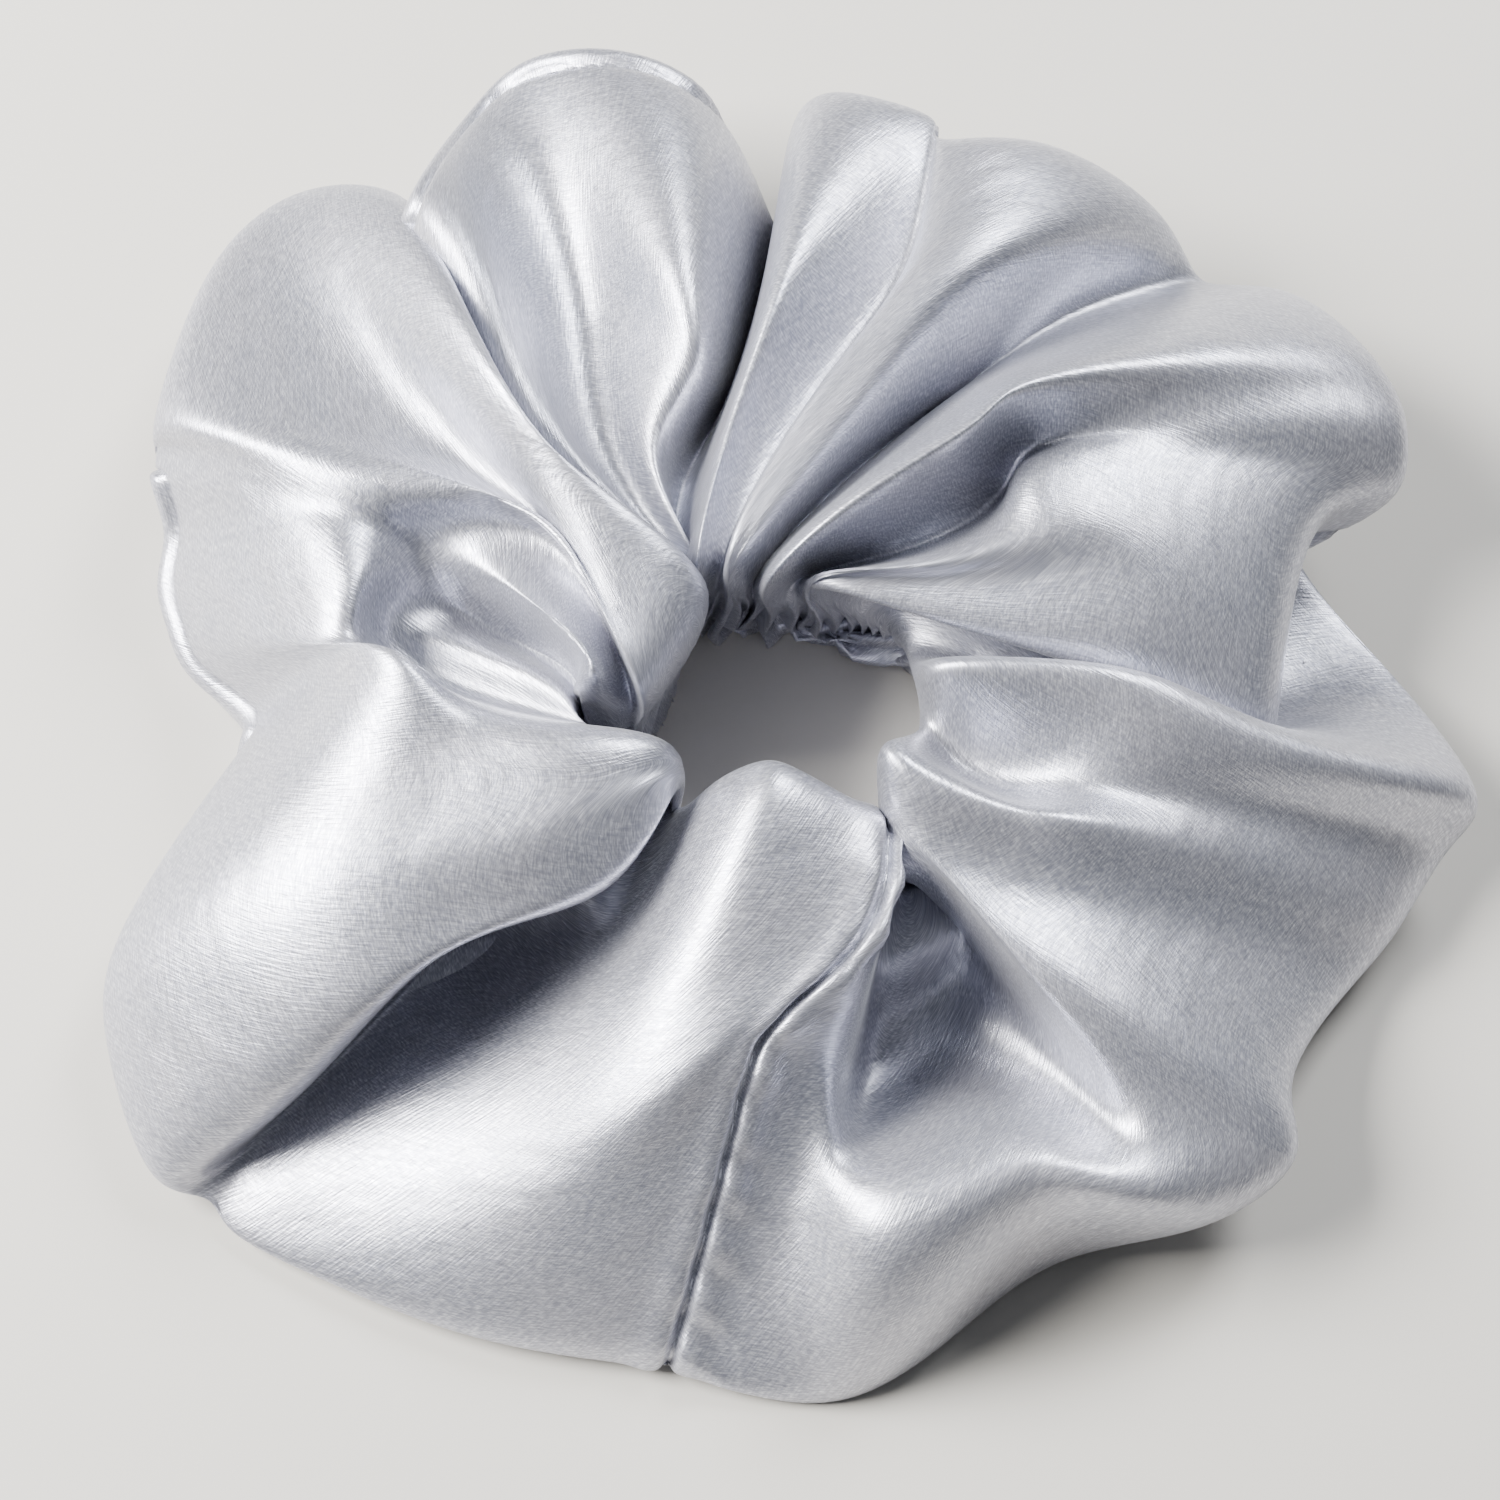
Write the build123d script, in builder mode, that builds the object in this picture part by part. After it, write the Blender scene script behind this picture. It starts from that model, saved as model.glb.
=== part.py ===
"""A large gathered satin scrunchie: a sewn fabric tube, closed into a lobed ring, with a loop of
braided elastic running free inside it.

Frame: millimetres, +Z up, origin on the surface that the ring lies on, at the centre of its opening.
The ring's closing seam points along -Y.
"""

import os
from math import degrees

from build123d import *

# Fabric ring
OUTER_R = 76.0  # from the centre to the folded outer edge
OPENING_R = 17.0  # relaxed opening that the hair goes through
RING_HEIGHT = 34.0  # at the gathers, next to the opening
CREST_R = 34.0  # where the top starts to slope down to the outer edge
EDGE_HEIGHT = 19.0  # corner of that slope at the outer edge, before rounding
OPENING_ROUND = 12.0  # roundings of the section, from the opening outwards
CREST_ROUND = 20.0
EDGE_ROUND = 9.0
WALL = 1.0  # gathered satin, taken as one even layer
LOBES = 10

# Valleys between the lobes, each cut by a cone that widens outwards
VALLEY_IN_R = 20.0  # where the cone starts
VALLEY_IN_Z = 37.4
VALLEY_IN_SIZE = 2.0
VALLEY_OUT_R = 84.0  # where it ends, past the outer edge
VALLEY_OUT_Z = 9.0
VALLEY_OUT_SIZE = 10.0

# Seam allowances, which stand inwards from the tube's wall
ALLOWANCE_THICK = 1.2  # two layers pressed together
CLOSING_ALLOWANCE = 5.0  # width of the closing seam's allowance
CLOSING_ANGLE = 270.0  # degrees round the ring
LONG_SEAM_Z = 5.0
LONG_SEAM_R = 65.0
LONG_ALLOWANCE_R = 60.0  # free edge of the long seam's allowance
LONG_SEAM_GAP = 4.0  # left open for the closing seam's allowance
LONG_SEAM_END = 0.6  # from that gap to the nearest stitch

# Thread
THREAD_R = 0.15
NEEDLE_HOLE_R = 0.22
STITCH_LENGTH = 2.6
STITCH_CORNER = 0.2  # bend of the thread where it goes into the cloth
LONG_STITCHES = 102
CLOSING_STITCHES = 46

# Elastic
ELASTIC_R = 26.0  # to the middle of the band
ELASTIC_Z = 11.0  # it lies low inside the tube
ELASTIC_WIDTH = 6.0
ELASTIC_THICK = 1.2
ELASTIC_CORNER = 0.5
ELASTIC_STEP = 1.3  # how far the outer end steps out to lie on the inner one
ELASTIC_OVERLAP = 26.0  # degrees
CORES = 5
CORE_R = 0.28
CORE_PITCH = 1.1
TACKS = 6
TACK_HEIGHT = 3.3  # between the rows of cores
TACK_FIRST = 5.0  # degrees, inside the overlap
TACK_LAST = 21.0

os.makedirs("parts", exist_ok=True)


def section_at(inset):
    """The tube's section, moved inwards by inset: upright at the opening, flat underneath."""
    corners = [
        (OPENING_R, 0),
        (OUTER_R, 0),
        (OUTER_R, EDGE_HEIGHT),
        (CREST_R, RING_HEIGHT),
        (OPENING_R, RING_HEIGHT),
    ]
    rounds = [OPENING_ROUND, EDGE_ROUND, EDGE_ROUND, CREST_ROUND, OPENING_ROUND]
    with BuildSketch(Plane.XZ) as section:
        with BuildLine():
            FilletPolyline(*corners, radius=rounds, close=True)
        make_face()
        if inset > 0:
            offset(amount=-inset, kind=Kind.ARC, mode=Mode.REPLACE)
    return section


def valley_at(grow):
    """One cone that cuts a valley, along +X, with its radii grown by grow."""
    inner = Vector(VALLEY_IN_R, 0, VALLEY_IN_Z)
    outer = Vector(VALLEY_OUT_R, 0, VALLEY_OUT_Z)
    along = outer - inner
    with BuildPart() as valley:
        with BuildSketch(Plane(origin=inner, z_dir=along)):
            Circle(VALLEY_IN_SIZE + grow)
        with BuildSketch(Plane(origin=outer, z_dir=along)):
            Circle(VALLEY_OUT_SIZE + grow)
        loft()
    return valley


def ring_at(inset):
    """The lobed ring as one solid, with its surface moved inwards by inset."""
    section = section_at(inset)
    valley = valley_at(inset)
    with BuildPart() as ring:
        add(section.sketch)
        revolve(axis=Axis.Z)
        with PolarLocations(0, LOBES):
            add(valley.part, mode=Mode.SUBTRACT)
    return ring


def stitch_of(depth, length):
    """One stitch, needle and bobbin thread as a closed loop: length along X, depth through Z."""
    x = length / 2
    z = depth / 2 + THREAD_R
    with BuildPart() as stitch:
        with BuildLine(Plane.XZ) as loop:
            FilletPolyline((x, -z), (x, z), (-x, z), (-x, -z), radius=STITCH_CORNER, close=True)
        with BuildSketch(Plane(origin=loop.line @ 0, z_dir=loop.line % 0)):
            Circle(THREAD_R)
        sweep()
    return stitch


def needle_holes_of(depth, length):
    """The two holes that such a stitch passes through."""
    with BuildPart() as holes:
        with Locations((-length / 2, 0, 0), (length / 2, 0, 0)):
            Cylinder(NEEDLE_HOLE_R, depth + 2 * THREAD_R)
    return holes


# Both seam allowances, which stay solid when the ring is hollowed
with BuildPart() as closing_allowance:
    with BuildSketch(Plane.XZ):
        add(section_at(0).sketch)
        add(section_at(WALL + CLOSING_ALLOWANCE).sketch, mode=Mode.SUBTRACT)
    extrude(amount=ALLOWANCE_THICK / 2, both=True)

with BuildPart() as long_allowance:
    with BuildSketch(Plane.XY.offset(LONG_SEAM_Z - ALLOWANCE_THICK / 2)):
        Circle(OUTER_R)
        Circle(LONG_ALLOWANCE_R, mode=Mode.SUBTRACT)
        with Locations((0, -OUTER_R)):
            Rectangle(LONG_SEAM_GAP, OUTER_R, mode=Mode.SUBTRACT)
    extrude(amount=ALLOWANCE_THICK)

with BuildPart() as hollow:
    add(ring_at(WALL).part)
    add(long_allowance.part, mode=Mode.SUBTRACT)
    add(closing_allowance.part, rotation=(0, 0, CLOSING_ANGLE), mode=Mode.SUBTRACT)

# Where each stitch of the two seams sits
seam_end = degrees(((LONG_SEAM_GAP + STITCH_LENGTH) / 2 + LONG_SEAM_END) / LONG_SEAM_R)
long_seam = PolarLocations(
    LONG_SEAM_R,
    LONG_STITCHES,
    start_angle=CLOSING_ANGLE + seam_end,
    angular_range=360 - 2 * seam_end,
    endpoint=True,
)
long_places = [Pos(0, 0, LONG_SEAM_Z) * spot * Rot(0, 0, 90) for spot in long_seam.local_locations]

closing_line = section_at(WALL + CLOSING_ALLOWANCE / 2).sketch.face().outer_wire()
closing_places = []
for i in range(CLOSING_STITCHES):
    share = (i + 0.5) / CLOSING_STITCHES
    on_seam = Plane(
        origin=closing_line.position_at(share),
        x_dir=closing_line.tangent_at(share),
        z_dir=(0, 1, 0),
    )
    closing_places.append(Rot(0, 0, CLOSING_ANGLE) * on_seam.location)

stitch = stitch_of(ALLOWANCE_THICK, STITCH_LENGTH)
needle_holes = needle_holes_of(ALLOWANCE_THICK, STITCH_LENGTH)

with BuildPart() as satin_cover:
    add(ring_at(0).part)
    add(hollow.part, mode=Mode.SUBTRACT)
    with Locations(*long_places, *closing_places):
        add(needle_holes.part, mode=Mode.SUBTRACT)

with BuildPart() as long_seam_stitches:
    with Locations(*long_places):
        add(stitch.part)

with BuildPart() as closing_seam_stitches:
    with Locations(*closing_places):
        add(stitch.part)

# The elastic's path, whose outer end steps out to lie on its inner end
with BuildLine(Plane.XY.offset(ELASTIC_Z)) as band_line:
    shift = ELASTIC_STEP / 2
    CenterArc((0, 0), ELASTIC_R, 0, 180)
    CenterArc((shift, 0), ELASTIC_R + shift, 180, 180)
    CenterArc((0, 0), ELASTIC_R + ELASTIC_STEP, 0, ELASTIC_OVERLAP)
band_path = Wire(band_line.edges())
band_start = Plane(origin=(ELASTIC_R, 0, ELASTIC_Z), x_dir=(1, 0, 0), z_dir=(0, 1, 0))
core_rows = GridLocations(0, CORE_PITCH, 1, CORES).local_locations

# Where each tack of the elastic's lapped join sits
tack_depth = ELASTIC_THICK + ELASTIC_STEP
join = PolarLocations(
    ELASTIC_R + ELASTIC_STEP / 2,
    TACKS,
    start_angle=TACK_FIRST,
    angular_range=TACK_LAST - TACK_FIRST,
    endpoint=True,
)
tack_places = [Pos(0, 0, ELASTIC_Z) * spot * Rot(0, 90, 0) for spot in join.local_locations]
tack = stitch_of(tack_depth, TACK_HEIGHT)
tack_holes = needle_holes_of(tack_depth, TACK_HEIGHT)

with BuildPart() as elastic_braid:
    with BuildSketch(band_start):
        RectangleRounded(ELASTIC_THICK, ELASTIC_WIDTH, ELASTIC_CORNER)
        with Locations(*core_rows):
            Circle(CORE_R, mode=Mode.SUBTRACT)
    sweep(path=band_path)
    with Locations(*tack_places):
        add(tack_holes.part, mode=Mode.SUBTRACT)

with BuildPart() as elastic_join_stitches:
    with Locations(*tack_places):
        add(tack.part)

pieces = {
    "satin_cover": satin_cover,
    "long_seam_stitches": long_seam_stitches,
    "closing_seam_stitches": closing_seam_stitches,
    "elastic_braid": elastic_braid,
    "elastic_join_stitches": elastic_join_stitches,
}

# The rubber strands inside the braid, numbered from the bottom up
for number, row in enumerate(core_rows, start=1):
    with BuildPart() as rubber_core:
        with BuildSketch(band_start):
            with Locations(row):
                Circle(CORE_R)
        sweep(path=band_path)
    pieces[f"rubber_core_{number}"] = rubber_core

for name, piece in pieces.items():
    piece.part.label = name
    export_step(piece.part, f"parts/{name}.step")
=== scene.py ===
"""The looks of a large gathered satin scrunchie that lies on a table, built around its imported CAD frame."""

import math

import bpy
import numpy as np
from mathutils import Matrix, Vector


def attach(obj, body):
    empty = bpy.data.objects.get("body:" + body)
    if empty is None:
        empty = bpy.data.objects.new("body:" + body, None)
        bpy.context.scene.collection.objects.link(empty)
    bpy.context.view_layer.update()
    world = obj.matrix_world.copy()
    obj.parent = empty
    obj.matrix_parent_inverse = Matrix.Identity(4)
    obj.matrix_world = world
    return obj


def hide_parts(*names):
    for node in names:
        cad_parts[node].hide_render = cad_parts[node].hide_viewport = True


MM = 0.001

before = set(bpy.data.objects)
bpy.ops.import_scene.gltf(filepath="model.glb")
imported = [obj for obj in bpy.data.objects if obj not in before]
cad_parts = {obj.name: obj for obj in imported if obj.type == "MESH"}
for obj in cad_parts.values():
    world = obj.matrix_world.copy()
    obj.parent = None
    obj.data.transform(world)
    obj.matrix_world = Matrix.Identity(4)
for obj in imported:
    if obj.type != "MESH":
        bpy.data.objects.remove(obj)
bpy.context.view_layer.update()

# The cloth's fold lines, counterclockwise round the opening, lobe by lobe. Each runs from the rim of the
# opening to the tube's outer edge over five points: degrees round the ring, radius in mm, height in mm.
LOBES = [
    # lower right lobe: the nose at the opening, its fold edge, the bright ridge, the dish and the top crest
    [
        [(298, 24, 22), (305, 29, 24), (307, 47, 23), (312, 64, 19), (317, 73, 11)],
        [(299, 20, 24), (304, 25, 27), (308, 37, 26), (315, 53, 23), (323, 68, 11)],
        [(307, 15, 26), (308, 21, 29), (318, 32, 26), (327, 47, 21), (335, 69, 6)],
        [(320, 13, 28), (321, 19, 30), (326, 29, 29), (334, 42, 26), (342, 72, 7)],
        [(346, 15, 22), (338, 20, 22), (338, 29, 24), (344, 46, 24), (350, 76, 8)],
        [(4, 14, 26), (360, 23, 31), (357, 38, 31), (353, 56, 25), (354, 77, 13)],
    ],
    # the dark hollow behind it, and the turn under the right lobe
    [
        [(25, 16, 16), (8, 28, 16), (2, 41, 12), (3, 56, 8), (7, 71, 7)],
        [(42, 18, 14), (20, 29, 16), (12, 42, 8), (15, 55, 6), (19, 66, 5)],
        [(58, 17, 16), (35, 29, 16), (25, 42, 9), (22, 53, 8), (22, 62, 7)],
    ],
    # right lobe: its lower edge, its face, the edge of the pocket, the pocket and the high crest
    [
        [(78, 12, 24), (28, 16, 26), (5, 32, 23), (360, 44, 19), (360, 55, 13)],
        [(78, 12, 27), (30, 22, 28), (19, 37, 29), (16, 48, 27), (18, 62, 18)],
        [(78, 12, 27), (45, 18, 29), (36, 30, 30), (35, 44, 30), (21, 74, 18)],
        [(86, 15, 20), (55, 22, 21), (46, 35, 22), (39, 46, 29), (24, 78, 21)],
        [(98, 12, 25), (61, 21, 30), (51, 34, 32), (42, 48, 32), (28, 80, 21)],
        [(105, 12, 27), (70, 20, 34), (54, 34, 36), (46, 49, 34), (34, 81, 20)],
        [(104, 16, 20), (79, 25, 22), (64, 40, 23), (52, 57, 24), (43, 82, 14)],
    ],
    # upper right lobe: a broad face that ends in the ridge over its neighbour
    [
        [(106, 15, 22), (76, 29, 23), (62, 47, 22), (56, 63, 19), (49, 78, 11)],
        [(116, 14, 27), (80, 26, 31), (67, 46, 33), (60, 61, 31), (55, 79, 16)],
        [(119, 14, 28), (91, 24, 32), (76, 40, 34), (70, 58, 34), (66, 76, 24)],
        [(120, 15, 28), (99, 23, 30), (82, 37, 31), (75, 54, 30), (75, 72, 26)],
    ],
    # top lobe
    [
        [(117, 17, 24), (96, 26, 25), (81, 43, 24), (76, 60, 24), (77, 77, 22)],
        [(126, 17, 26), (103, 28, 27), (89, 45, 29), (84, 62, 28), (82, 80, 20)],
        [(128, 18, 26), (107, 29, 27), (95, 45, 27), (91, 65, 22), (89, 81, 13)],
        [(129, 20, 18), (115, 30, 16), (101, 43, 10), (93, 58, 8), (91, 72, 4)],
    ],
    # upper left lobe: a broad hollow face that runs in under its left neighbour
    [
        [(124, 19, 22), (118, 32, 24), (106, 40, 27), (101, 55, 28), (97, 83, 16)],
        [(126, 19, 22), (123, 35, 22), (114, 54, 20), (111, 72, 22), (108, 91, 18)],
        [(128, 19, 22), (129, 36, 23), (123, 54, 23), (120, 70, 25), (115, 90, 14)],
        [(129, 19, 22), (133, 34, 26), (131, 50, 28), (128, 63, 30), (126, 75, 25)],
        [(131, 20, 18), (141, 30, 22), (143, 42, 21), (135, 60, 16), (127, 79, 8)],
    ],
    # left upper lobe: the crest over that face, a flat face, the first tongue and the ridge over the dish
    [
        [(129, 16, 25), (136, 27, 31), (138, 37, 34), (131, 55, 32), (125, 81, 16)],
        [(144, 13, 27), (143, 27, 33), (141, 41, 33), (135, 64, 28), (130, 93, 12)],
        [(184, 15, 27), (160, 22, 31), (146, 36, 29), (143, 59, 25), (140, 92, 14)],
        [(187, 17, 26), (156, 25, 31), (148, 37, 30), (152, 62, 28), (153, 83, 18)],
    ],
    # left lobe: the second tongue, the curled hole beside it and a shallow dish behind an upright ridge
    [
        [(178, 18, 20), (153, 26, 25), (149, 38, 27), (156, 60, 29), (155, 83, 12)],
        [(184, 21, 25), (172, 23, 29), (154, 42, 25), (159, 57, 28), (157, 82, 10)],
        [(182, 24, 25), (170, 25, 28), (158, 44, 23), (162, 56, 28), (160, 79, 6)],
        [(177, 24, 15), (166, 28, 15), (163, 45, 22), (167, 54, 28), (164, 78, 4)],
        [(187, 24, 20), (175, 28, 22), (169, 46, 21), (172, 52, 28), (168, 75, 4)],
        [(195, 21, 23), (185, 28, 22), (176, 43, 21), (176, 51, 28), (172, 71, 3)],
    ],
    # lower left lobe: a sheer tongue that lies over its neighbour
    [
        [(209, 16, 27), (197, 26, 31), (186, 37, 31), (179, 47, 31), (177, 64, 4)],
        [(220, 16, 27), (211, 27, 32), (198, 40, 31), (189, 52, 27), (184, 66, 6)],
        [(224, 17, 27), (219, 29, 31), (209, 45, 30), (201, 62, 25), (197, 78, 8)],
        [(226, 18, 26), (228, 29, 28), (218, 47, 27), (213, 66, 22), (205, 84, 6)],
        [(225, 19, 25), (229, 31, 23), (219, 48, 22), (219, 71, 13), (215, 86, 4)],
        [(221, 18, 18), (223, 28, 14), (212, 42, 6), (216, 62, 5), (219, 83, 3)],
    ],
    # bottom lobe: the broad bright face, as far as the closing seam
    [
        [(229, 18, 22), (233, 31, 17), (224, 46, 9), (222, 63, 7), (222, 83, 2)],
        [(235, 15, 26), (241, 31, 23), (234, 48, 15), (230, 65, 9), (229, 80, 2)],
        [(252, 12, 30), (252, 30, 29), (246, 48, 22), (243, 62, 14), (241, 76, 2)],
        [(276, 13, 30), (268, 29, 29), (257, 44, 26), (253, 57, 17), (252, 73, 2)],
    ],
    # bottom lobe: the strip from the closing seam to its fold edge, then the pocket closed by a rolled crest
    [
        [(302, 19, 25), (285, 30, 28), (267, 39, 26), (262, 52, 18), (259, 72, 2)],
        [(303, 20, 24), (290, 29, 26), (277, 39, 23), (271, 48, 18), (265, 73, 2)],
        [(303, 21, 20), (294, 26, 16), (279, 41, 10), (274, 54, 17), (271, 74, 1)],
        [(303, 21, 16), (298, 27, 11), (284, 43, 8), (279, 59, 20), (277, 73, 1)],
        [(303, 22, 15), (303, 28, 10), (294, 43, 9), (288, 59, 21), (285, 69, 2)],
        [(303, 23, 15), (306, 32, 12), (301, 48, 12), (296, 60, 21), (296, 66, 4)],
        [(303, 24, 16), (306, 35, 16), (306, 53, 16), (304, 66, 20), (307, 71, 8)],
    ],
]
FOLDS = [fold for lobe in LOBES for fold in lobe]
CLOSING_FOLD = len(FOLDS) - len(LOBES[-1])  # the closing seam runs along this fold line
UNDER_SHARE = (0.3, 0.4, 0.4)  # height of the tube's lower layer, as a share of the lowest fold around
UNDER_RANGE = (1.2, 3.4)
FLOOR_GAP = 0.4

# Mesh steps from fold line to fold line, and from point to point of a cross section
STEPS_ROUND = [40 if abs(i - CLOSING_FOLD + 0.5) < 1 else 14 for i in range(len(FOLDS))]
STEPS_ACROSS = (10, 10, 10, 40, 24, 8, 6, 8, 8, 8)
EDGE_BIAS = 1.7  # crowds the steps towards the outer edge
TOP_END = sum(STEPS_ACROSS[:4])  # the column on the outer edge
UNDER_END = sum(STEPS_ACROSS[:8])  # the column under the rim

# Room for the elastic inside the tube
ELASTIC_ZONE = (23.0, 24.6, 30.0, 34.0)  # radii: from, full, full, to
ELASTIC_TOP = 15.6
ELASTIC_UNDER = 5.0
WALL_R = 23.4

CLOTH = 0.3  # thickness

# The wall that turns down into the opening: its lip near the floor and its throat half way up
LIP_OUT = 4.0  # from the rim outwards
LIP_HEIGHT = 3.0
THROAT_OUT = 1.5
THROAT_IN = 0.6  # from WALL_R inwards, at least

# Gathers under the ring and in the opening, where the same length of cloth has less room
GATHERS = 72
UNDER_GATHER = 2.2
WALL_GATHER = 1.25
DRIFTS = ((2.0, 7, 0), (1.3, 17, 1))  # uneven spacing: how far in radians, times round the ring, from where
UNEVEN_HEIGHT = 0.2
HEIGHT_WAVES = 11
UNDER_FADE = (8, 26)  # columns from the outer edge over which the gathers underneath come up
WALL_FADE = (2, 16)  # and columns before the rim over which those in the wall die out

# Seams: their groove, and the cloth that swells beside it
GROOVE_DEPTH = 0.9
GROOVE_WIDTH = 0.6
SWELL_HEIGHT = 0.5
SWELL_WIDTH = 2.0
SWELL_OUT = 2.0  # from the groove to the top of the swelling
PUCKER_LENGTH = 6.5
PUCKER_HEIGHT = 0.35
PUCKER_WIDTH = 4.0
PIPING = 4.5  # from the outer edge to the long seam, where that seam comes up on the top
SEAM_UNDER = 7.0  # and where it lies underneath
ROLL_HEIGHT = 1.8  # times SWELL_HEIGHT
ROLL_WIDTH = 0.35  # times PIPING
PIPING_SPANS = ((24.2, 27.6), (34.0, 39.4))  # fold lines from and to, of the two places where it comes up

# Stitches of both seams, which lie sunk in the groove
STITCH_PITCH = 2.6
STITCH_SHARE = 0.8  # of the pitch that shows
THREAD_R = 0.15
THREAD_SUNK = 0.05
THREAD_SIDES = 6
STITCH_PARTS = (-1, -0.85, -0.5, 0, 0.5, 0.85, 1)  # along a stitch, from one end to the other
STITCH_DIP = 0.25  # how much deeper its ends lie than its middle
THREAD_TAPER = 0.4  # how much thinner its ends look
STEP_AHEAD = 0.1  # along the seam, to find its direction

# Satin, and the yarns of the braided elastic
TWILL_ANGLE = 62.0
ELASTIC_YARNS = 160.0  # waves round the ring, in radians per radian
YARNS_ACROSS = 6.0  # and across the band, in radians per mm

# Floor in m, and camera in degrees and mm
FLOOR_HALF = 3.0
CAMERA_ELEVATION = 68
CAMERA_DISTANCE = 310
CAMERA_AIM = (-4.7, 0.5, 4.0)
VIEW_WIDTH = 175.5  # seen across at that distance
SENSOR = 36


def polar(angle, radius, height):
    turn = math.radians(angle)
    return np.array([radius * math.cos(turn), radius * math.sin(turn), height])


def around(values, reach, combine):
    """Combines the values of each fold line with those of its neighbours, up to reach lines away."""
    return combine([np.roll(values, shift, axis=0) for shift in range(-reach, reach + 1)], axis=0)


def under_layer(tops):
    """Points of the lower layer of cloth, which lies flatter and lower than the folds over it."""
    under = around(tops, 2, np.mean)[:, 1:4]
    lowest = around(tops[:, 1:4, 2], 2, np.min)
    under[..., 2] = np.clip(around(lowest, 1, np.mean) * UNDER_SHARE, *UNDER_RANGE)
    return under[:, ::-1]


def opening_wall(tops):
    """Points of the cloth that turns down into the opening."""
    rim = around(tops, 1, np.mean)[:, 0]
    radius = np.hypot(rim[:, 0], rim[:, 1])
    lip = rim * (np.minimum(radius + LIP_OUT, WALL_R) / radius)[:, None]
    throat = rim * (np.minimum(radius + THROAT_OUT, WALL_R - THROAT_IN) / radius)[:, None]
    lip[:, 2] = LIP_HEIGHT
    throat[:, 2] = 0.5 * rim[:, 2]
    return np.stack([lip, throat], axis=1)


def cross_sections():
    """The closed loops of the tube at the fold lines: over the top, back underneath, up at the opening."""
    tops = np.array([[polar(*point) for point in fold] for fold in FOLDS])
    return np.concatenate([tops, under_layer(tops), opening_wall(tops)], axis=1)


def periodic_spline(points, steps, bias=None):
    """A smooth closed curve through points, along their first axis, with steps[i] pieces after point i."""
    count = len(points)
    system = 4 * np.eye(count) + np.roll(np.eye(count), 1, axis=0) + np.roll(np.eye(count), -1, axis=0)
    flat = points.reshape(count, -1)
    slope = np.linalg.solve(system, 3 * (np.roll(flat, -1, axis=0) - np.roll(flat, 1, axis=0)))
    pieces = []
    for i in range(count):
        j = (i + 1) % count
        t = np.arange(steps[i])[:, None] / steps[i]
        if bias and i in bias:
            t = bias[i](t)
        pieces.append(
            (2 * t**3 - 3 * t**2 + 1) * flat[i]
            + (t**3 - 2 * t**2 + t) * slope[i]
            + (3 * t**2 - 2 * t**3) * flat[j]
            + (t**3 - t**2) * slope[j]
        )
    return np.concatenate(pieces).reshape(-1, *points.shape[1:])


def smooth_step(value, start, end):
    share = np.clip((value - start) / (end - start), 0, 1)
    return share * share * (3 - 2 * share)


def clear_elastic(grid):
    """Moves the cloth off the elastic's path: up above it, down below it and inwards at the opening."""
    radius = np.hypot(grid[..., 0], grid[..., 1])
    start, full_start, full_end, end = ELASTIC_ZONE
    weight = smooth_step(radius, start, full_start) * (1 - smooth_step(radius, full_end, end))
    top = np.arange(grid.shape[1]) <= TOP_END
    lift = weight * np.maximum(ELASTIC_TOP - grid[..., 2], 0)
    drop = weight * np.maximum(grid[..., 2] - ELASTIC_UNDER, 0)
    under = (np.arange(grid.shape[1]) > TOP_END) & (np.arange(grid.shape[1]) <= UNDER_END)
    grid[..., 2] += np.where(top, lift, 0) - np.where(under, drop, 0)
    wall = np.arange(grid.shape[1]) > UNDER_END
    squeeze = np.where(wall, np.minimum(1, WALL_R / radius), 1)
    grid[..., :2] *= squeeze[..., None]
    return grid


def arc_length(grid, axis):
    """The way walked along one axis of the grid, with one extra entry where it closes."""
    steps = np.linalg.norm(np.roll(grid, -1, axis=axis) - grid, axis=2)
    walked = np.cumsum(steps, axis=axis)
    return np.concatenate([np.zeros_like(np.take(walked, [0], axis=axis)), walked], axis=axis)


def outwards(grid):
    """Unit vectors that point out of the tube."""
    round_ring = np.roll(grid, -1, axis=0) - np.roll(grid, 1, axis=0)
    across = np.roll(grid, -1, axis=1) - np.roll(grid, 1, axis=1)
    normal = np.cross(across, round_ring)
    return normal / np.linalg.norm(normal, axis=2, keepdims=True)


def fold_of_row():
    """For each row of the grid, the fold line that it is at, counted in fractions."""
    parts = [i + np.arange(steps) / steps for i, steps in enumerate(STEPS_ROUND)]
    return np.concatenate(parts)


def bell(distance, width):
    return np.exp(-((distance / width) ** 2))


def gathers(grid):
    """Uneven pleats under the ring and up the wall, which die out before the outer edge and the rim."""
    turn = arc_length(grid, 0)[:-1, UNDER_END]
    share = 2 * math.pi * turn / turn[-1]
    uneven = GATHERS * share
    for size, times, start in DRIFTS:
        uneven = uneven + size * np.sin(times * share + start)
    wave = (np.cos(uneven) * (1 + UNEVEN_HEIGHT * np.sin(HEIGHT_WAVES * share)))[:, None]
    column = np.arange(grid.shape[1])
    under = smooth_step(column - TOP_END, *UNDER_FADE) * (column <= UNDER_END)
    wall = (column > UNDER_END) * smooth_step(grid.shape[1] - column, *WALL_FADE)
    room = np.clip(grid[..., 2] - FLOOR_GAP, 0, UNDER_GATHER)
    return wave * (room * under + WALL_GATHER * wall)


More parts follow.
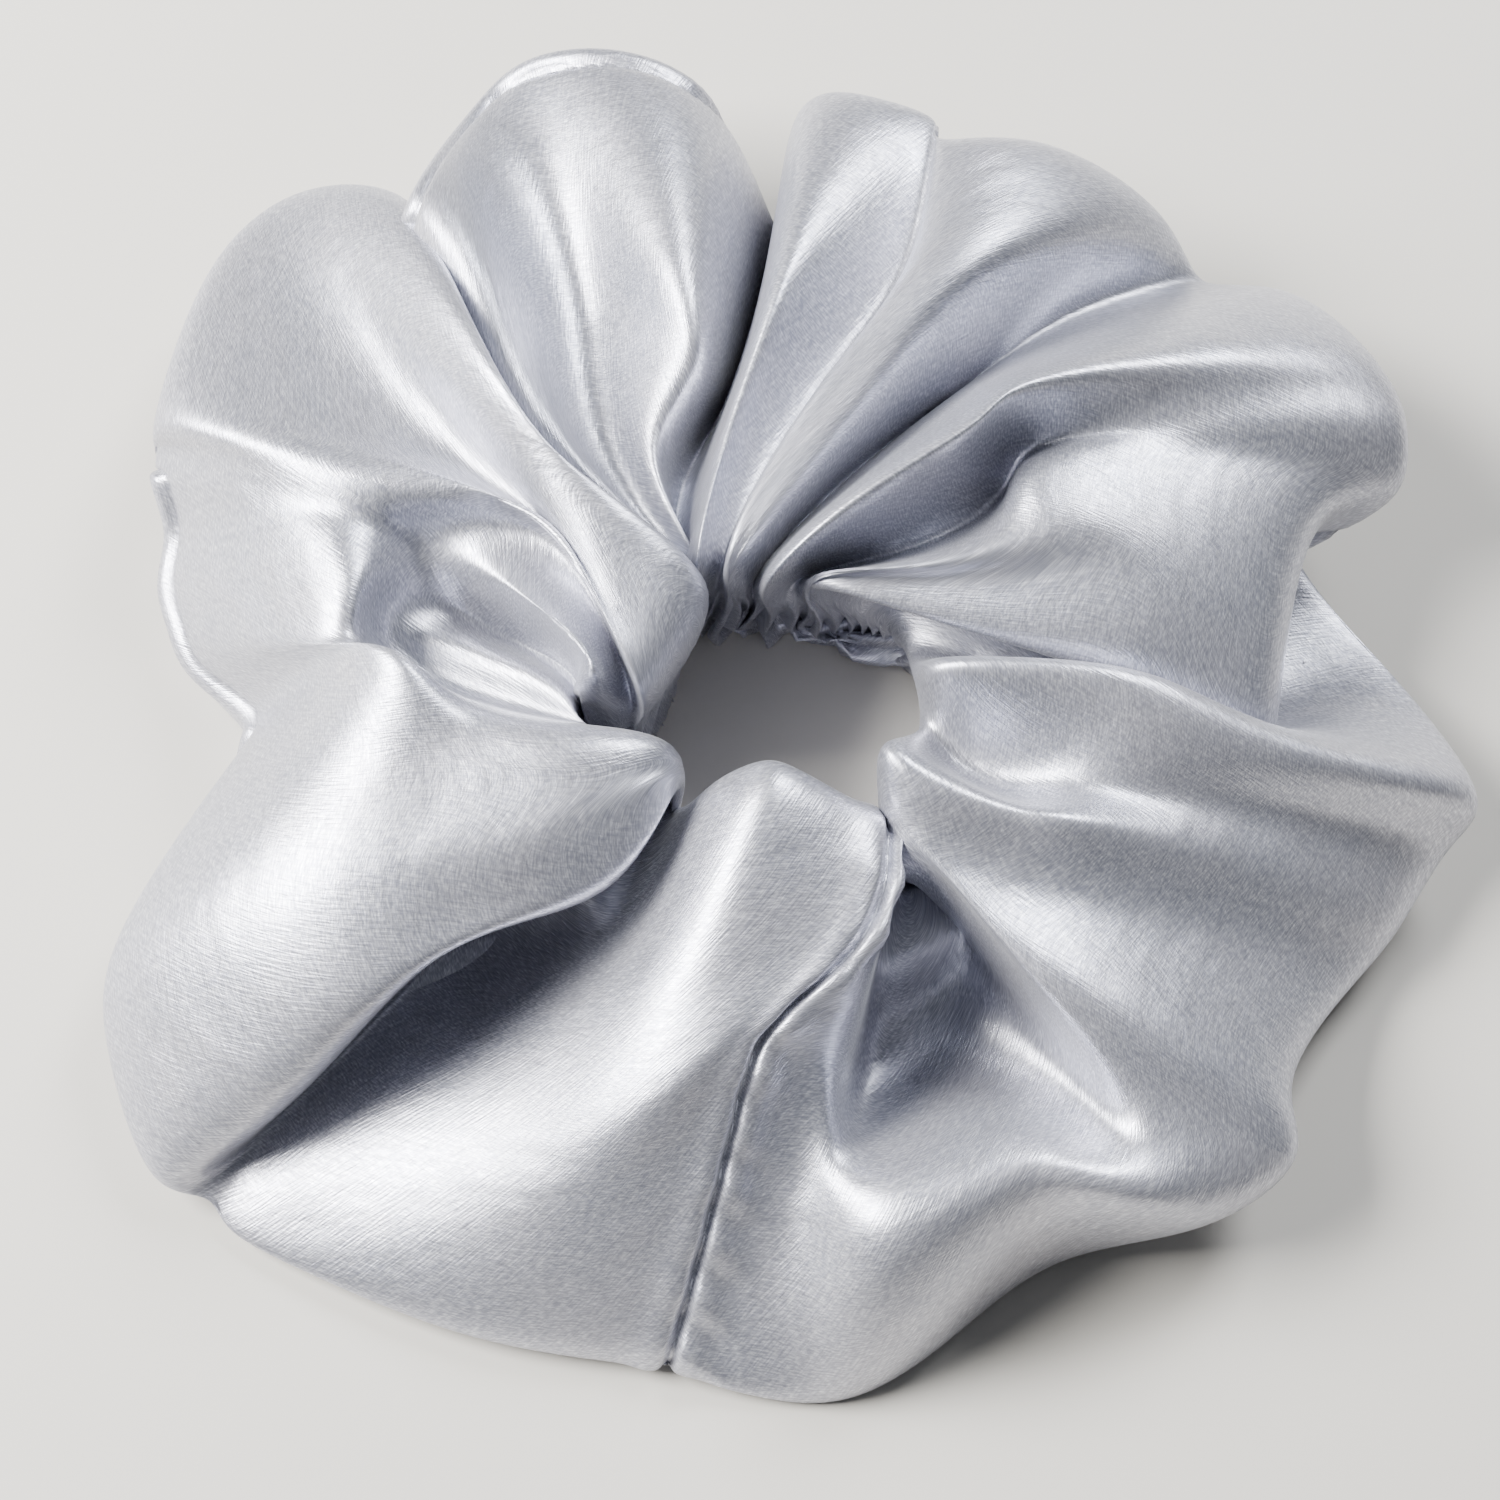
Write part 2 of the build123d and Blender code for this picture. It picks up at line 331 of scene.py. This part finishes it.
def closing_seam(grid):
    """The groove of the closing seam, the swelling on both sides of it and its puckers on one side."""
    along = arc_length(grid, 0)[:-1]
    across = arc_length(grid, 1)[:, :-1]
    distance = along - along[sum(STEPS_ROUND[:CLOSING_FOLD])]
    waves = np.sin(2 * math.pi * across / PUCKER_LENGTH)
    pucker = PUCKER_HEIGHT * waves * bell(distance - SWELL_OUT, PUCKER_WIDTH)
    swell = SWELL_HEIGHT * bell(np.abs(distance) - SWELL_OUT, SWELL_WIDTH)
    return swell + pucker - GROOVE_DEPTH * bell(distance, GROOVE_WIDTH)


def long_seam_place():
    """For each row, how far across the tube the long seam lies from the outer edge; above it is negative."""
    fold = fold_of_row()
    up = np.zeros_like(fold)
    for start, end in PIPING_SPANS:
        up += smooth_step(fold, start - 1, start) * (1 - smooth_step(fold, end, end + 1))
    return SEAM_UNDER - (SEAM_UNDER + PIPING) * up


def long_seam(grid):
    """The groove of the long seam and the piping between it and the outer edge."""
    across = arc_length(grid, 1)
    distance = (across - across[:, [TOP_END]])[:, :-1] - long_seam_place()[:, None]
    on_top = np.clip(-long_seam_place() / PIPING, 0, 1)[:, None]
    roll = ROLL_HEIGHT * SWELL_HEIGHT * bell(distance - 0.5 * PIPING, ROLL_WIDTH * PIPING) * on_top
    return roll - GROOVE_DEPTH * bell(distance, GROOVE_WIDTH)


def smooth_grid():
    """The cover's points in mm without any relief, as rows round the ring and columns across the tube."""
    round_ring = periodic_spline(cross_sections(), STEPS_ROUND)
    edge_bias = {3: lambda t: 1 - (1 - t) ** EDGE_BIAS, 4: lambda t: t**EDGE_BIAS}
    grid = periodic_spline(round_ring.swapaxes(0, 1), STEPS_ACROSS, edge_bias).swapaxes(0, 1)
    return clear_elastic(grid)


def with_relief(grid):
    relief = gathers(grid) + closing_seam(grid) + long_seam(grid)
    grid = grid + outwards(grid) * relief[..., None]
    grid[..., 2] = np.maximum(grid[..., 2], FLOOR_GAP)
    return grid


def long_seam_columns(grid):
    """For each row, the column that the long seam lies at, counted in fractions."""
    across = arc_length(grid, 1)
    places = across[:, TOP_END] + long_seam_place()
    columns = np.arange(across.shape[1])
    return np.array([np.interp(place, walked, columns) for place, walked in zip(places, across)])


def at_columns(values, columns):
    """The grid's values at one fractional column of each row."""
    low = columns.astype(int)
    share = (columns - low)[:, None]
    rows = np.arange(len(values))
    return (1 - share) * values[rows, low] + share * values[rows, low + 1]


def weave_coordinates(grid):
    """UVs in mm of cloth at each face corner. Each lobe is measured from its own middle row."""
    rows, columns = grid.shape[:2]
    along = arc_length(grid, 0)
    across = arc_length(grid, 1)
    across -= across[:, [TOP_END]]
    middle = []
    first = 0
    for lobe in LOBES:
        size = sum(STEPS_ROUND[first : first + len(lobe)])
        middle += [len(middle) + size // 2] * size
        first += len(lobe)
    along_near = along[:-1] - along[middle]
    along_far = along[1:] - along[middle]
    across_far = np.roll(across, -1, axis=0)
    close = np.arange(1, columns + 1) % columns
    corners = [
        (along_near, across[:, :-1]),
        (along_near[:, close], across[:, 1:]),
        (along_far[:, close], across_far[:, 1:]),
        (along_far, across_far[:, :-1]),
    ]
    return np.stack([np.stack(corner, axis=-1) for corner in corners], axis=2)


def new_piece(name, points, faces):
    """A smooth-shaded mesh object from points in mm."""
    mesh = bpy.data.meshes.new(name)
    mesh.from_pydata((points * MM).tolist(), [], list(faces))
    mesh.polygons.foreach_set("use_smooth", [True] * len(mesh.polygons))
    piece = bpy.data.objects.new(name, mesh)
    bpy.context.collection.objects.link(piece)
    return piece


def tube_mesh(name, grid):
    rows, columns = grid.shape[:2]
    index = np.arange(rows * columns).reshape(rows, columns)
    right = np.roll(index, -1, axis=0)
    up = np.roll(index, -1, axis=1)
    both = np.roll(right, -1, axis=1)
    faces = np.stack([index, up, both, right], axis=-1).reshape(-1, 4).tolist()
    piece = new_piece(name, grid.reshape(-1, 3), faces)
    weave = piece.data.uv_layers.new(name="weave")
    weave.data.foreach_set("uv", weave_coordinates(grid).reshape(-1).astype(np.float32))
    return piece


def point_at(place, walked, points):
    """The point of a path at a place along it, between those that are given."""
    return np.array([np.interp(place, walked, points[:, i]) for i in range(3)])


def stitch_mesh(name, path, normals):
    """One row of stitches along a closed path, each a short tube whose ends dip into the cloth."""
    closed = np.concatenate([path, path[:1]])
    walked = np.concatenate([[0], np.cumsum(np.linalg.norm(np.diff(closed, axis=0), axis=1))])
    up = np.concatenate([normals, normals[:1]])
    count = int(walked[-1] / STITCH_PITCH)
    turns = np.arange(THREAD_SIDES) * 2 * math.pi / THREAD_SIDES
    points = []
    for number in range(count):
        for part in STITCH_PARTS:
            place = (number + 0.5 + 0.5 * STITCH_SHARE * part) * walked[-1] / count
            middle = point_at(place, walked, closed)
            normal = point_at(place, walked, up)
            side = np.cross(normal, point_at(place + STEP_AHEAD, walked, closed) - middle)
            side /= np.linalg.norm(side)
            sunk = THREAD_SUNK + STITCH_DIP * part**4
            radius = THREAD_R * (1 - THREAD_TAPER * part**4)
            ring = np.cos(turns)[:, None] * side + np.sin(turns)[:, None] * normal
            points.append(middle - sunk * normal + radius * ring)
    parts = len(STITCH_PARTS)
    index = np.arange(count * parts * THREAD_SIDES).reshape(count, parts, THREAD_SIDES)
    beside = np.roll(index, -1, axis=2)
    walls = np.stack([index[:, :-1], beside[:, :-1], beside[:, 1:], index[:, 1:]], axis=-1)
    caps = index[:, 0, ::-1].tolist() + index[:, -1].tolist()
    return new_piece(name, np.concatenate(points), walls.reshape(-1, 4).tolist() + caps)


class Nodes:
    """Short calls for the nodes of one material."""

    def __init__(self, name):
        self.material = bpy.data.materials.new(name)
        self.material.use_nodes = True
        self.tree = self.material.node_tree
        self.shader = self.tree.nodes["Principled BSDF"]

    def add(self, kind, inputs=None, **settings):
        node = self.tree.nodes.new("ShaderNode" + kind)
        for key, value in settings.items():
            setattr(node, key, value)
        for key, value in (inputs or {}).items():
            if isinstance(value, bpy.types.NodeSocket):
                self.tree.links.new(value, node.inputs[key])
            else:
                node.inputs[key].default_value = value
        return node.outputs

    def scaled(self, source, scale, turn=0.0):
        turned = self.add("Mapping", {"Vector": source, "Rotation": (0, 0, math.radians(turn))})[0]
        return self.add("Mapping", {"Vector": turned, "Scale": scale})[0]

    def noise(self, vector, detail=2.0, roughness=0.5):
        inputs = {"Vector": vector, "Scale": 1.0, "Detail": detail, "Roughness": roughness}
        return self.add("TexNoise", inputs)[0]

    def ramp(self, value, low, high, to_low=0.0, to_high=1.0):
        inputs = {"Value": value, "From Min": low, "From Max": high, "To Min": to_low, "To Max": to_high}
        return self.add("MapRange", inputs)[0]

    def blend(self, share, first, second):
        inputs = {0: share, 6: first, 7: second}
        return self.add("Mix", inputs, data_type="RGBA")[2]

    def bump(self, height, distance, strength=1.0, normal=None):
        inputs = {"Height": height, "Distance": distance, "Strength": strength}
        if normal is not None:
            inputs["Normal"] = normal
        return self.add("Bump", inputs)[0]

    def use(self, sockets):
        for name, value in sockets.items():
            socket = self.shader.inputs[name]
            if isinstance(value, bpy.types.NodeSocket):
                self.tree.links.new(value, socket)
            else:
                socket.default_value = value


def satin():
    nodes = Nodes("satin")
    cloth = nodes.add("UVMap", uv_map="weave")[0]
    threads = nodes.noise(nodes.scaled(cloth, (0.35, 3.6, 1), TWILL_ANGLE), detail=1)
    grain = nodes.noise(nodes.scaled(cloth, (1.2, 5.0, 1), 8), detail=2)
    fibres = nodes.noise(nodes.scaled(cloth, (0.35, 2.0, 1), 8), detail=3)
    clouds = nodes.noise(nodes.scaled(cloth, (0.06, 0.06, 1)), detail=2)
    ripples = nodes.noise(nodes.scaled(cloth, (0.05, 0.14, 1), 20), detail=2)
    tone = nodes.blend(nodes.ramp(clouds, 0.35, 0.65), (0.36, 0.37, 0.44, 1), (0.43, 0.425, 0.485, 1))
    # Where the grain noise is high the colour goes up to near-white: painted glints of light on the fibres,
    # laid over the random tone.
    light = nodes.blend(nodes.ramp(grain, 0.40, 0.75), tone, (0.80, 0.81, 0.86, 1))
    colour = nodes.blend(nodes.ramp(threads, 0.35, 0.65, 0.0, 0.4), light, (0.24, 0.25, 0.32, 1))
    rough = nodes.ramp(fibres, 0.3, 0.7, 0.46, 0.32)
    soft = nodes.bump(ripples, 0.0003)
    woven = nodes.bump(threads, 0.00005, normal=soft)
    grainy = nodes.bump(grain, 0.00002, normal=woven)
    nodes.use({"Base Color": colour, "Roughness": rough, "Normal": grainy, "Metallic": 0.75})
    nodes.use({"Sheen Weight": 0.15, "Sheen Roughness": 0.4, "Specular IOR Level": 0.7})
    return nodes.material


def thread():
    """Spun polyester thread in the satin's colour: its plies wind round it."""
    nodes = Nodes("thread")
    place = nodes.add("TexCoord")["Object"]
    plies = nodes.noise(nodes.scaled(place, (9000, 9000, 2500), 35), detail=1)
    colour = nodes.blend(nodes.ramp(plies, 0.35, 0.65), (0.40, 0.41, 0.48, 1), (0.60, 0.61, 0.68, 1))
    nodes.use({"Base Color": colour, "Roughness": 0.5, "Normal": nodes.bump(plies, 0.00003)})
    return nodes.material


def braid():
    """Braided elastic: yarns that cross in two directions round the band."""
    nodes = Nodes("elastic braid")
    place = nodes.add("SeparateXYZ", {"Vector": nodes.add("TexCoord")["Object"]})
    turn = nodes.add("Math", {0: place["Y"], 1: place["X"]}, operation="ARCTAN2")[0]
    along = nodes.add("Math", {0: turn, 1: ELASTIC_YARNS}, operation="MULTIPLY")[0]
    across = nodes.add("Math", {0: place["Z"], 1: YARNS_ACROSS / MM}, operation="MULTIPLY")[0]
    yarns = []
    for lean in ("ADD", "SUBTRACT"):
        phase = nodes.add("Math", {0: along, 1: across}, operation=lean)[0]
        yarns.append(nodes.add("Math", {0: phase}, operation="SINE")[0])
    woven = nodes.add("Math", {0: yarns[0], 1: yarns[1]}, operation="MAXIMUM")[0]
    fibres = nodes.noise(nodes.scaled(nodes.add("TexCoord")["Object"], (4000, 4000, 4000)), detail=3)
    light = nodes.blend(nodes.ramp(fibres, 0.3, 0.7), (0.74, 0.74, 0.76, 1), (0.86, 0.86, 0.87, 1))
    # Between the crossing yarns the colour goes down to dark grey: painted shade in the gaps of the braid.
    colour = nodes.blend(nodes.ramp(woven, 0.6, -0.4), light, (0.45, 0.45, 0.48, 1))
    fuzzy = nodes.bump(fibres, 0.00003, normal=nodes.bump(woven, 0.00015))
    nodes.use({"Base Color": colour, "Roughness": 0.75, "Normal": fuzzy})
    return nodes.material


def rubber():
    """Natural rubber strand: off-white, dusty with talc."""
    nodes = Nodes("rubber")
    dust = nodes.noise(nodes.scaled(nodes.add("TexCoord")["Object"], (2500, 2500, 2500)), detail=4)
    colour = nodes.blend(nodes.ramp(dust, 0.35, 0.7), (0.62, 0.56, 0.44, 1), (0.78, 0.75, 0.68, 1))
    rough = nodes.ramp(dust, 0.3, 0.7, 0.45, 0.8)
    nodes.use({"Base Color": colour, "Roughness": rough, "Normal": nodes.bump(dust, 0.00002)})
    return nodes.material


def make_cover():
    """The satin tube and the thread of its two seams. Returns the thread's material."""
    smooth = smooth_grid()
    grid = with_relief(smooth)
    cover = tube_mesh("scrunchie_cover", grid)
    cover.data.materials.append(satin())
    thickness = cover.modifiers.new("cloth thickness", "SOLIDIFY")
    thickness.thickness = CLOTH * MM
    thickness.offset = -1
    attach(cover, "cover")
    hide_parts("satin_cover")
    normals = outwards(grid)
    closing_row = sum(STEPS_ROUND[:CLOSING_FOLD])
    seam = long_seam_columns(smooth)
    closing = stitch_mesh("closing_seam_thread", grid[closing_row], normals[closing_row])
    long = stitch_mesh("long_seam_thread", at_columns(grid, seam), at_columns(normals, seam))
    polyester = thread()
    for piece, node in ((closing, "closing_seam_stitches"), (long, "long_seam_stitches")):
        piece.data.materials.append(polyester)
        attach(piece, "cover")
        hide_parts(node)
    return polyester


def finish_elastic(polyester):
    """Gives the elastic inside the tube, which stays the CAD's own shape, its materials."""
    finishes = {"elastic_braid": braid(), "elastic_join_stitches": polyester}
    core = rubber()
    for name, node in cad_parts.items():
        if name.startswith("rubber_core"):
            finishes[name] = core
    for name, material in finishes.items():
        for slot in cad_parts[name].material_slots:
            slot.material = material


def make_floor():
    mesh = bpy.data.meshes.new("floor")
    near, far = -FLOOR_HALF, FLOOR_HALF
    mesh.from_pydata([(near, near, 0), (far, near, 0), (far, far, 0), (near, far, 0)], [], [(0, 1, 2, 3)])
    floor = bpy.data.objects.new("floor", mesh)
    bpy.context.collection.objects.link(floor)
    material = bpy.data.materials.new("floor")
    material.use_nodes = True
    shader = material.node_tree.nodes["Principled BSDF"]
    shader.inputs["Base Color"].default_value = (0.55, 0.53, 0.49, 1)
    shader.inputs["Roughness"].default_value = 0.7
    mesh.materials.append(material)


def area_light(name, place, aim, size, power, colour):
    lamp = bpy.data.lights.new(name, "AREA")
    lamp.shape = "RECTANGLE"
    lamp.size, lamp.size_y = size
    lamp.energy = power
    lamp.color = colour
    light = bpy.data.objects.new(name, lamp)
    light.location = place
    light.rotation_euler = (Vector(aim) - Vector(place)).to_track_quat("-Z", "Y").to_euler()
    bpy.context.collection.objects.link(light)


def make_camera():
    elevation = math.radians(CAMERA_ELEVATION)
    distance = CAMERA_DISTANCE * MM
    aim = Vector(CAMERA_AIM) * MM
    camera_data = bpy.data.cameras.new("camera")
    camera_data.sensor_width = SENSOR
    camera_data.lens = SENSOR * CAMERA_DISTANCE / VIEW_WIDTH
    camera_data.clip_start = 0.01
    camera = bpy.data.objects.new("camera", camera_data)
    camera.location = aim + Vector((0, -math.cos(elevation), math.sin(elevation))) * distance
    camera.rotation_euler = (math.pi / 2 - elevation, 0, 0)
    bpy.context.collection.objects.link(camera)
    bpy.context.scene.camera = camera


finish_elastic(make_cover())
make_floor()
area_light("window", (-0.60, 0.10, 0.52), (0, 0, 0.02), (0.45, 0.40), 30, (1.0, 0.99, 0.97))
area_light("sky", (0.35, 0.50, 0.60), (0, 0, 0.02), (0.30, 0.30), 10, (0.95, 0.97, 1.0))
world = bpy.data.worlds.new("studio")
world.use_nodes = True
world.node_tree.nodes["Background"].inputs["Color"].default_value = (0.85, 0.9, 1.0, 1)
world.node_tree.nodes["Background"].inputs["Strength"].default_value = 0.15
bpy.context.scene.world = world
make_camera()
